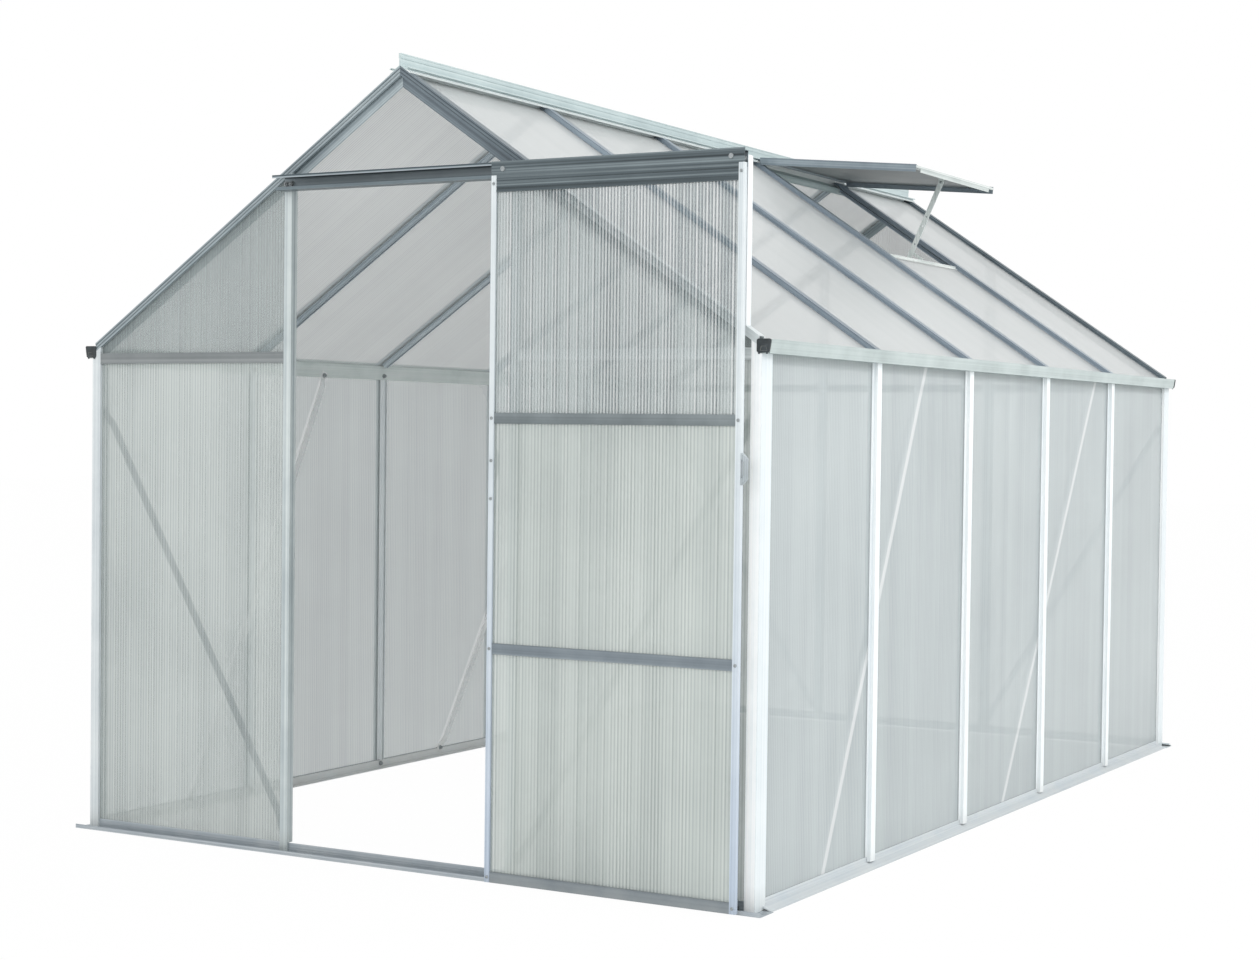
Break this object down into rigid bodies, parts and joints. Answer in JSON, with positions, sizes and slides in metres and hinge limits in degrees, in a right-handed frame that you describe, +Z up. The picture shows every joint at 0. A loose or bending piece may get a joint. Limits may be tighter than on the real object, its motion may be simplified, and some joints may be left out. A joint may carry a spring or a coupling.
{
  "type": "greenhouse",
  "caption": "Gabled garden greenhouse of extruded aluminium bars and twin-wall sheets, with a sliding door hung on a track, eaves gutters and a hinged roof vent on a stay",
  "frame": {"origin": "middle of the bounding box on the ground", "axes": "+Z up, +Y along the ridge away from the door, +X to the right seen from the door"},
  "size_m": [1.952, 3.073, 1.893],
  "materials": {
    "frame_aluminium": "mill silver",
    "door_aluminium": "mill silver",
    "vent_aluminium": "mill silver",
    "strap_aluminium": "rolled flat bar",
    "twin_wall_sheet": "translucent, fluted",
    "cap_plastic": "moulded black",
    "roller_plastic": "moulded",
    "pin_steel": "zinc plated"
  },
  "bodies": {
    "house": {"sill_front": "frame_aluminium", "sill_rear": "frame_aluminium", "sill_left": "frame_aluminium", "sill_right": "frame_aluminium", "corner_post_front_left": "frame_aluminium", "corner_post_front_right": "frame_aluminium", "corner_post_rear_left": "frame_aluminium", "corner_post_rear_right": "frame_aluminium", "wall_bars_left": "frame_aluminium", "wall_bars_right": "frame_aluminium", "gutter_left": "frame_aluminium", "gutter_right": "frame_aluminium", "rafter_front_left": "frame_aluminium", "rafter_front_right": "frame_aluminium", "rafter_rear_left": "frame_aluminium", "rafter_rear_right": "frame_aluminium", "apex_gussets": "frame_aluminium", "ridge": "frame_aluminium", "roof_bars_left": "frame_aluminium", "roof_bars_right": "frame_aluminium", "vent_sill": "frame_aluminium", "door_post_left": "frame_aluminium", "door_post_right": "frame_aluminium", "rear_posts": "frame_aluminium", "cross_bars_front": "frame_aluminium", "cross_bars_rear": "frame_aluminium", "door_track": "frame_aluminium", "track_support": "frame_aluminium", "wall_sheets_left": "twin_wall_sheet", "wall_sheets_right": "twin_wall_sheet", "roof_sheets_left": "twin_wall_sheet", "roof_sheets_right": "twin_wall_sheet", "gable_sheets_front": "twin_wall_sheet", "gable_sheets_rear": "twin_wall_sheet", "wall_braces_left": "strap_aluminium", "wall_braces_right": "strap_aluminium", "gable_braces": "strap_aluminium", "stay_peg": "strap_aluminium", "gutter_caps": "cap_plastic"},
    "door": {"door_stile_left": "door_aluminium", "door_stile_right": "door_aluminium", "door_hanger": "door_aluminium", "door_rail_lower": "door_aluminium", "door_rail_upper": "door_aluminium", "door_rail_bottom": "door_aluminium", "door_pulls": "door_aluminium", "door_pane_bottom": "twin_wall_sheet", "door_pane_middle": "twin_wall_sheet", "door_pane_top": "twin_wall_sheet", "door_guides": "roller_plastic", "roller_pins": "pin_steel"},
    "roller_left": {"roller_left": "roller_plastic"},
    "roller_right": {"roller_right": "roller_plastic"},
    "vent": {"vent_hinge_rail": "vent_aluminium", "vent_side_rails": "vent_aluminium", "vent_end_rail": "vent_aluminium", "vent_sheet": "twin_wall_sheet", "stay_clevis": "strap_aluminium", "stay_pin": "pin_steel"},
    "stay": {"stay": "strap_aluminium"}
  },
  "joints": [
    {"name": "door_slide", "type": "slide", "parent": "house", "child": "door", "axis": [1, 0, 0], "range_m": [-0.6145, 0]},
    {"name": "roller_left_spin", "type": "hinge", "parent": "door", "child": "roller_left", "pos_m": [0.328, -1.51075, 1.6038], "axis": [0, 1, 0], "continuous": true},
    {"name": "roller_right_spin", "type": "hinge", "parent": "door", "child": "roller_right", "pos_m": [0.901, -1.51075, 1.6038], "axis": [0, 1, 0], "continuous": true},
    {"name": "vent_hinge", "type": "hinge", "parent": "house", "child": "vent", "pos_m": [0.02444, 0.6113, 1.85479], "axis": [0, -1, 0], "range_deg": [-28.9, 0]},
    {"name": "stay_hinge", "type": "hinge", "parent": "vent", "child": "stay", "pos_m": [0.49533, 0.6113, 1.79854], "axis": [0, -1, 0], "range_deg": [-14.5, 0]}
  ],
  "couplings": [
    {"joint": "roller_left_spin", "follows": "door_slide", "rad_per_m": 105.26},
    {"joint": "roller_right_spin", "follows": "door_slide", "rad_per_m": 105.26},
    {"joint": "stay_hinge", "follows": "vent_hinge", "ratio": 0.5}
  ]
}
